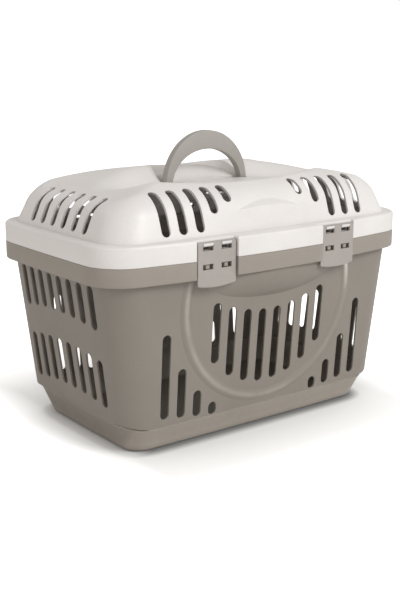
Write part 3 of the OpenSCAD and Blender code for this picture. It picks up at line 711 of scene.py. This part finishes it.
# Handle and clips
def build_handle():
    """Arch with a rounded section, round feet on the pivot line and a pin outside each foot."""
    inner_x, inner_h = HANDLE_X - HANDLE_LEG, HANDLE_H - HANDLE_GRIP
    corners = ((1, 1, 0), (0, 1, pi / 2), (0, -1, pi), (1, -1, 1.5 * pi))
    rings = []
    for t in np.linspace(0, pi, HANDLE_RINGS):
        inner = np.array([inner_x * cos(t), inner_h * sin(t)])
        outer = np.array([HANDLE_X * cos(t), HANDLE_H * sin(t)])
        width = np.hypot(*(outer - inner))
        along = (outer - inner) / width
        ring = []
        for at_outer, side, start in corners:
            for a in start + np.linspace(0, pi / 2, HANDLE_CORNER_STEPS):
                w = (width - HANDLE_EDGE if at_outer else HANDLE_EDGE) + HANDLE_EDGE * cos(a)
                y = side * (HANDLE_DEEP / 2 - HANDLE_EDGE) + HANDLE_EDGE * sin(a)
                p = inner + along * w
                ring.append((p[0], y, HANDLE_Z + p[1]))
        rings.append(ring)
    handle = solid("carrier_handle", *loft(rings))
    feet = [on_pivot(span, HANDLE_DEEP / 2, FOOT_SIDES, FOOT_EDGE) for span in ends(inner_x, HANDLE_X)]
    pins = [on_pivot(span, PIN_R, PIN_SIDES, PIN_EDGE) for span in ends(HANDLE_X - PAST, HANDLE_X + PIN_L)]
    add(handle, "handle_feet", feet)
    return add(handle, "handle_pins", pins)


def clip_plan(inset):
    """Outline of a clip's plate, below its pivot, with a curved finger edge and rounded corners."""
    half, r = CLIP_W / 2 - inset, CLIP_CORNER
    curve_r = CLIP_W ** 2 / (8 * CLIP_CURVE) + CLIP_CURVE / 2
    xs = np.linspace(-half + r, half - r, FINGER_STEPS)
    lower = [(x, curve_r - CLIP_L - sqrt((curve_r - inset) ** 2 - x * x)) for x in xs]
    corner_y = lower[-1][1] + r
    turns = np.linspace(0, pi / 2, CLIP_CORNER_STEPS)[1:]
    right = [(half - r + r * sin(t), corner_y - r * cos(t)) for t in turns]
    left = [(-x, y) for x, y in right[::-1]]
    return lower + right + [(half, -inset), (-half, -inset)] + left


def build_clip(name, x, rear):
    """One clip at its pivot: plate, round bar and two pairs of windows."""
    side = -1 if rear else 1

    def place(u, v, d):
        return (x + side * u, -side * (PIVOT_Y + d), PIVOT_Z + v)
    edge = quarter_round(CLIP_EDGE, CLIP_EDGE_STEPS)
    depths = [(PLATE_OUT - CLIP_T + h, e) for e, h in edge[::-1]] + [(PLATE_OUT - h, e) for e, h in edge]
    plate = solid(name, *loft([[place(u, v, d) for u, v in clip_plan(e)] for d, e in depths]))
    upper = (-WINDOW_UP, WINDOW_PAST)
    lower = (-WINDOW_LOW - WINDOW_LOW_H / 2, -WINDOW_LOW + WINDOW_LOW_H / 2)
    windows = []
    for s in (-1, 1):
        left, right = s * WINDOW_PITCH / 2 - WINDOW_W / 2, s * WINDOW_PITCH / 2 + WINDOW_W / 2
        for low, high in (upper, lower):
            corners = [(left, low), (right, low), (right, high), (left, high)]
            windows.append(prism(corners, place, WINDOW_REACH))
    cut(plate, "clip_windows", windows)
    bar = cylinder(x - CLIP_W / 2, x + CLIP_W / 2, BAR_R, BAR_SIDES, BAR_EDGE)
    return add(plate, "clip_bar", [moved(bar, (0, -side * PIVOT_Y, PIVOT_Z))])


# Materials
class Shader:
    """Short ways to add nodes to a tree. A value is a number, a colour or another node's output."""

    def __init__(self, tree):
        tree.nodes.clear()
        self.nodes, self.links = tree.nodes, tree.links

    def add(self, kind):
        return self.nodes.new("ShaderNode" + kind)

    def put(self, socket, value):
        if isinstance(value, (int, float, tuple)):
            socket.default_value = value
        else:
            self.links.new(value, socket)

    def noise(self, vector, scale, detail):
        node = self.add("TexNoise")
        self.put(node.inputs["Scale"], scale)
        self.put(node.inputs["Detail"], detail)
        self.put(node.inputs["Vector"], vector)
        return node.outputs["Fac"]

    def spread(self, value, span, onto):
        """Maps one range of values onto another."""
        node = self.add("MapRange")
        for socket, number in zip(("From Min", "From Max", "To Min", "To Max"), (*span, *onto)):
            self.put(node.inputs[socket], number)
        self.put(node.inputs["Value"], value)
        return node.outputs["Result"]

    def calc(self, operation, a, b=0.0):
        node = self.add("Math")
        node.operation = operation
        self.put(node.inputs[0], a)
        self.put(node.inputs[1], b)
        return node.outputs["Value"]

    def product(self, first, *others):
        for other in others:
            first = self.calc("MULTIPLY", first, other)
        return first

    def blend(self, kind, factor, a, b):
        node = self.add("Mix")
        node.data_type = "RGBA"
        node.blend_type = kind
        for socket, value in ((node.inputs[0], factor), (node.inputs[6], a), (node.inputs[7], b)):
            self.put(socket, value)
        return node.outputs[2]

    def openness(self, distance, samples=8):
        """How much of the surroundings within a distance is open."""
        node = self.add("AmbientOcclusion")
        node.samples = samples
        self.put(node.inputs["Distance"], distance)
        return node.outputs["AO"]

    def split(self, vector):
        node = self.add("SeparateXYZ")
        self.put(node.inputs[0], vector)
        return node.outputs


def new_material(name):
    material = bpy.data.materials.new(name)
    material.use_nodes = True
    return material, Shader(material.node_tree)


NONE_TO_ALL = (0.0, 1.0)
ALL_TO_NONE = (1.0, 0.0)

# Painted highlight on the ring: its fade from the crest, patches, and shares along X and up to the rim
CREST_FADE, CREST_HIGHLIGHT_COLOUR = (0.0045, 0.0010), (0.68, 0.65, 0.59, 1)
HIGHLIGHT_NOISE, HIGHLIGHT_SPAN, HIGHLIGHT_LEVELS = (24, 3), (0.35, 0.65), (0.35, 1.0)
HIGHLIGHT_ALONG, HIGHLIGHT_RIGHT = (-0.02, 0.09), 0.35
RIM_HIGHLIGHT_UP, RIM_HIGHLIGHT_ALONG, RIM_HIGHLIGHT_RIGHT = (0.165, 0.200), (-0.05, 0.05), 2.9


def ring_highlight_paint(tree, place, share):
    """Painted highlight along the ring's crest, strongest near the rim on the right."""
    at = tree.split(place)
    up = tree.calc("SUBTRACT", at["Z"], RING_Z * MM)
    far = tree.calc("SQRT", tree.calc("ADD", tree.product(at["X"], at["X"]), tree.product(up, up)))
    off = tree.calc("ABSOLUTE", tree.calc("SUBTRACT", far, RING_R * MM))
    crest = tree.spread(off, CREST_FADE, NONE_TO_ALL)
    highlight_patches = tree.spread(tree.noise(place, *HIGHLIGHT_NOISE), HIGHLIGHT_SPAN, HIGHLIGHT_LEVELS)
    along = tree.spread(at["X"], HIGHLIGHT_ALONG, (share, HIGHLIGHT_RIGHT * share))
    near_rim = tree.product(
        tree.spread(at["Z"], RIM_HIGHLIGHT_UP, NONE_TO_ALL),
        tree.spread(at["X"], RIM_HIGHLIGHT_ALONG, (share, RIM_HIGHLIGHT_RIGHT * share)),
    )
    return tree.product(crest, highlight_patches, tree.calc("ADD", along, near_rim))


# Base band's painted light: where its ends begin, where it stops, and its change of level on the sides and
# ends
BASE_ENDS, BASE_TOP = (BASE_A * MM, (BASE_A + 5) * MM), ((STEP_Z - 4) * MM, STEP_Z * MM)
BASE_LIGHT_CHANGE = (0.15, -0.10)


def base_painted_light(tree, place):
    """Painted light and shade on the tub's base band: paler along the long sides, as if lit from the floor,
    and darker at the ends, as if in shade.
    """
    at = tree.split(place)
    change = tree.spread(tree.calc("ABSOLUTE", at["X"]), BASE_ENDS, BASE_LIGHT_CHANGE)
    below = tree.spread(at["Z"], BASE_TOP, ALL_TO_NONE)
    return tree.calc("ADD", tree.product(change, below), 1.0)


# Painted light in the handle's well: its sides, its front, and how much paler it is painted where it lies
# deep in shade
WELL_SIDES, WELL_START, WELL_REACH = (0.070, 0.078), (0.004, 0.012), 0.03
WELL_DEPTH, WELL_LIGHT_CHANGE = (0.45, 0.90), (0.22, 0.0)


def well_painted_light(tree, place):
    """Painted light in the handle's well, paler where it lies deep in shade."""
    at = tree.split(place)
    across = tree.spread(tree.calc("ABSOLUTE", at["X"]), WELL_SIDES, ALL_TO_NONE)
    behind = tree.spread(at["Y"], WELL_START, NONE_TO_ALL)
    deep = tree.spread(tree.openness(WELL_REACH), WELL_DEPTH, WELL_LIGHT_CHANGE)
    return tree.calc("ADD", tree.product(across, behind, deep), 1.0)


# Plastic: sizes and ranges that all its finishes share. A noise has its scale and detail
BEVEL_R, BEVEL_SAMPLES, RUB_SPAN = 0.0008, 6, (0.98, 0.80)
PATCH_NOISE, PATCH_SPAN, PATCH_LEVELS = (90, 4), (0.35, 0.65), (0.1, 0.6)
CLOUD_NOISE, CLOUD_LEVELS = (13, 4), (0.955, 1.03)
SPECK_NOISE, SPECK_LEVELS = (420, 2), (0.985, 1.015)
MATT_NOISE, MATT_LESS, MATT_MORE = (45, 5), 0.05, 0.06
NOISE_SPAN = (0.3, 0.7)
# Reach and range of the painted shade in tight corners and creases
NOOK_SHADE_REACH, NOOK_SHADE_SPAN = 0.012, (0.25, 0.85)
# Reach and range of the painted light or shade deep inside
INSIDE_SHADING_REACH, INSIDE_SHADING_SPAN = 0.25, (0.08, 0.30)
GRAIN_NOISE, GRAIN_DEPTH, IOR = (1500, 2), 0.0002, 1.49


def plastic(name, colour, pale, rough, grain, nook_shade=0.8, inside=1.0, shading_bands=(), crest=0.0, well=False):
    """Satin moulded plastic: clouded tone, fine grain, rounded and scuffed edges, painted shade in the
    corners.

    nook_shade and inside are levels of painted shade in tight corners and of painted light or shade deep
    inside, shading_bands are levels of painted light and shade by height, crest is the share of painted
    highlight on the ring, and well adds painted light in the handle's well.
    """
    material, tree = new_material(name)
    place = tree.add("TexCoord").outputs["Object"]
    edge = tree.add("Bevel")
    edge.samples = BEVEL_SAMPLES
    tree.put(edge.inputs["Radius"], BEVEL_R)
    match = tree.add("VectorMath")
    match.operation = "DOT_PRODUCT"
    tree.put(match.inputs[0], edge.outputs["Normal"])
    tree.put(match.inputs[1], tree.add("NewGeometry").outputs["Normal"])
    rubbed = tree.spread(match.outputs["Value"], RUB_SPAN, NONE_TO_ALL)
    patchy = tree.spread(tree.noise(place, *PATCH_NOISE), PATCH_SPAN, PATCH_LEVELS)

    # Clouded tone and specks, times painted shade in tight corners and creases
    tone = tree.product(
        tree.spread(tree.noise(place, *CLOUD_NOISE), NOISE_SPAN, CLOUD_LEVELS),
        tree.spread(tree.noise(place, *SPECK_NOISE), NOISE_SPAN, SPECK_LEVELS),
        tree.spread(tree.openness(NOOK_SHADE_REACH), NOOK_SHADE_SPAN, (nook_shade, 1.0)),
    )
    # Painted contact shadow and painted light by height
    if shading_bands:
        height = tree.split(place)["Z"]
        for span, levels in shading_bands:
            tone = tree.product(tone, tree.spread(height, span, levels))
        # Painted light and shade on the base band
        tone = tree.product(tone, base_painted_light(tree, place))
    # Painted light and shade deep inside: paler in the tub and darker in the lid, where little round it is
    # open
    tone = tree.product(tone, tree.spread(tree.openness(INSIDE_SHADING_REACH), INSIDE_SHADING_SPAN, (inside, 1.0)))
    # Painted light in the handle's well, where it lies deep in shade
    if well:
        tone = tree.product(tone, well_painted_light(tree, place))
    base = tree.blend("MULTIPLY", 1.0, (*colour, 1), tone)
    base = tree.blend("MIX", tree.product(rubbed, patchy), base, (*pale, 1))
    # Painted highlight on the ring's crest
    if crest:
        base = tree.blend("MIX", ring_highlight_paint(tree, place, crest), base, CREST_HIGHLIGHT_COLOUR)

    bump = tree.add("Bump")
    tree.put(bump.inputs["Strength"], grain)
    tree.put(bump.inputs["Distance"], GRAIN_DEPTH)
    tree.put(bump.inputs["Height"], tree.noise(place, *GRAIN_NOISE))
    tree.put(bump.inputs["Normal"], edge.outputs["Normal"])
    matt = tree.spread(tree.noise(place, *MATT_NOISE), NOISE_SPAN, (rough - MATT_LESS, rough + MATT_MORE))
    surface = tree.add("BsdfPrincipled")
    tree.put(surface.inputs["IOR"], IOR)
    tree.put(surface.inputs["Base Color"], base)
    tree.put(surface.inputs["Roughness"], matt)
    tree.put(surface.inputs["Normal"], bump.outputs["Normal"])
    tree.put(tree.add("OutputMaterial").inputs["Surface"], surface.outputs["BSDF"])
    return material


# Heights and levels of painted shading: a painted contact shadow along the lower edge, and the rim painted
# paler than the wall under it, as if more lit
TUB_SHADING_BANDS = (((0.0015, 0.0045), (0.35, 1.0)), (((BAND_Z - 1) * MM, (BAND_Z + 0.5) * MM), (1.0, 1.24)))
FINISHES = {
    "tub_plastic": plastic(
        "tub_plastic", colour=(0.258, 0.228, 0.197), pale=(0.50, 0.46, 0.41), rough=0.40, grain=0.10,
        nook_shade=0.75, inside=2.2, shading_bands=TUB_SHADING_BANDS, crest=0.28,
    ),
    "lid_plastic": plastic(
        "lid_plastic", colour=(0.780, 0.750, 0.726), pale=(0.84, 0.81, 0.79), rough=0.38, grain=0.06,
        nook_shade=0.75, inside=0.33, well=True,
    ),
    "handle_plastic": plastic(
        "handle_plastic", colour=(0.380, 0.356, 0.328), pale=(0.48, 0.45, 0.41), rough=0.42, grain=0.08,
    ),
    "clip_plastic": plastic(
        "clip_plastic", colour=(0.387, 0.352, 0.325), pale=(0.50, 0.46, 0.43), rough=0.40, grain=0.08,
    ),
}


# Pieces
def place_piece(obj, node, finish):
    """Smooths a finished piece, paints it and lets it stand for its CAD node."""
    mesh = obj.data
    mesh.shade_smooth()
    mesh.set_sharp_from_angle(angle=SMOOTH_ANGLE)
    mesh.materials.clear()
    mesh.materials.append(FINISHES[finish])
    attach(obj, node)
    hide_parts(node)


place_piece(build_tub(), "tub", "tub_plastic")
place_piece(build_lid(), "lid", "lid_plastic")
place_piece(build_handle(), "handle", "handle_plastic")
for clip_name, clip_at, at_rear in (
    ("clip_front_left", -CLIP_X, False), ("clip_front_right", CLIP_X, False),
    ("clip_rear_left", -CLIP_X, True), ("clip_rear_right", CLIP_X, True),
):
    place_piece(build_clip("swing_" + clip_name, clip_at, at_rear), clip_name, "clip_plastic")


# Studio
scene = bpy.context.scene
scene.view_settings.view_transform = "Standard"
WHITE = (1, 1, 1, 1)

# Floor: contact shadow, softened on the left, and glow that grows with distance past the base
FLOOR_HALF, FLOOR_COLOUR, FLOOR_SAMPLES = 30.0, (0.90, 0.90, 0.89, 1), 16
CONTACT_REACH, CONTACT_SPAN, CONTACT_LEVELS = 0.020, (0.40, 0.90), (0.30, 1.0)
LEFT_SPAN, LEFT_LEVELS = (-0.040, -0.002), (0.0, 0.85)
SKY_REACH, SKY_SPAN, SKY_GLOW = 0.16, (0.45, 0.98), (0.0, 0.34)
GLOW_LEFT = ((0.0, 0.08), (0.05, 0.75))
GLOW_RIGHT = ((0.02, 0.16), (0.0, 0.6))
GLOW_SIDE = ((0.06, 0.32), (0.0, 0.55))


def floor_material():
    """Pale floor whose contact shadow and glow are for the camera only. The glow fades it to white."""
    material, tree = new_material("pale_floor")
    at = tree.split(tree.add("NewGeometry").outputs["Position"])
    past_left = tree.calc("SUBTRACT", tree.product(at["X"], -1.0), BASE_A * MM)
    past_right = tree.calc("SUBTRACT", at["X"], BASE_A * MM)
    past_side = tree.calc("SUBTRACT", tree.calc("ABSOLUTE", at["Y"]), BASE_B * MM)
    seen = tree.add("LightPath").outputs["Is Camera Ray"]

    contact = tree.spread(tree.openness(CONTACT_REACH, FLOOR_SAMPLES), CONTACT_SPAN, CONTACT_LEVELS)
    contact = tree.calc("MAXIMUM", contact, tree.spread(past_left, LEFT_SPAN, LEFT_LEVELS))
    shown = tree.calc("MAXIMUM", contact, tree.calc("SUBTRACT", 1.0, seen))
    paint = tree.add("BsdfDiffuse")
    tree.put(paint.inputs["Color"], tree.blend("MULTIPLY", 1.0, FLOOR_COLOUR, shown))

    open_sky = tree.spread(tree.openness(SKY_REACH, FLOOR_SAMPLES), SKY_SPAN, SKY_GLOW)
    away = tree.calc("MAXIMUM", tree.spread(past_left, *GLOW_LEFT), tree.spread(past_right, *GLOW_RIGHT))
    away = tree.product(tree.calc("MAXIMUM", away, tree.spread(past_side, *GLOW_SIDE)), contact)
    glow = tree.add("Emission")
    tree.put(glow.inputs["Strength"], tree.product(seen, tree.calc("ADD", open_sky, away)))

    total = tree.add("AddShader")
    tree.put(total.inputs[0], paint.outputs["BSDF"])
    tree.put(total.inputs[1], glow.outputs["Emission"])
    tree.put(tree.add("OutputMaterial").inputs["Surface"], total.outputs["Shader"])
    return material


def build_floor():
    mesh = bpy.data.meshes.new("floor")
    corners = [(x * FLOOR_HALF, y * FLOOR_HALF, 0) for x, y in ((-1, -1), (1, -1), (1, 1), (-1, 1))]
    mesh.from_pydata(corners, [], [(0, 1, 2, 3)])
    mesh.materials.append(floor_material())
    floor = bpy.data.objects.new("floor", mesh)
    scene.collection.objects.link(floor)


# Light of the surroundings, which the camera sees as white
WORLD_TINT, WORLD_UP, WORLD_LEVELS = (1, 0.972, 0.945, 1), (0.0, 1.0), (0.72, 0.50)


def build_world():
    world = bpy.data.worlds.new("studio")
    scene.world = world
    world.use_nodes = True
    tree = Shader(world.node_tree)
    seen = tree.add("LightPath").outputs["Is Camera Ray"]
    up = tree.split(tree.add("TexCoord").outputs["Generated"])["Z"]
    sky = tree.add("Background")
    tree.put(sky.inputs["Color"], tree.blend("MIX", seen, WORLD_TINT, WHITE))
    tree.put(sky.inputs["Strength"], tree.calc("MAXIMUM", seen, tree.spread(up, WORLD_UP, WORLD_LEVELS)))
    tree.put(tree.add("OutputWorld").inputs["Surface"], sky.outputs["Background"])


def lamp(name, at, target, size, watts, colour):
    """Round area lamp that looks at a target."""
    light = bpy.data.lights.new(name, "AREA")
    light.color = colour
    light.shape = "DISK"
    light.size = size
    light.energy = watts
    obj = bpy.data.objects.new(name, light)
    obj.location = at
    obj.rotation_euler = (Vector(target) - Vector(at)).to_track_quat("-Z", "Y").to_euler()
    scene.collection.objects.link(obj)


# Camera fitted to the photo's rim, base, slots and handle, for a picture of 400 x 600
CAMERA_AT, AZIMUTH, ELEVATION = (-800.36, -1048.37, 466.50), radians(-37.07), radians(13.78)
FOCAL_PIXELS, PICTURE_PIXELS, SENSOR, CLIP_END = 1007.13, 600, 36, 100


def build_camera():
    lens = bpy.data.cameras.new("camera")
    lens.sensor_fit = "VERTICAL"
    lens.sensor_height = SENSOR
    lens.lens = FOCAL_PIXELS / PICTURE_PIXELS * SENSOR
    lens.clip_end = CLIP_END
    back = Vector((sin(AZIMUTH) * cos(ELEVATION), -cos(AZIMUTH) * cos(ELEVATION), sin(ELEVATION)))
    camera = bpy.data.objects.new("camera", lens)
    camera.location = Vector(CAMERA_AT) * MM
    camera.rotation_euler = (-back).to_track_quat("-Z", "Y").to_euler()
    scene.collection.objects.link(camera)
    scene.camera = camera


build_floor()
build_world()
lamp("key", at=(0.4, -1.8, 1.5), target=(0.05, 0, 0.2), size=1.0, watts=23.6, colour=(0.96, 0.985, 1.0))
lamp("fill", at=(-2.0, -0.5, 0.3), target=(0, 0, 0.10), size=0.9, watts=3.0, colour=(1.0, 0.96, 0.91))
build_camera()
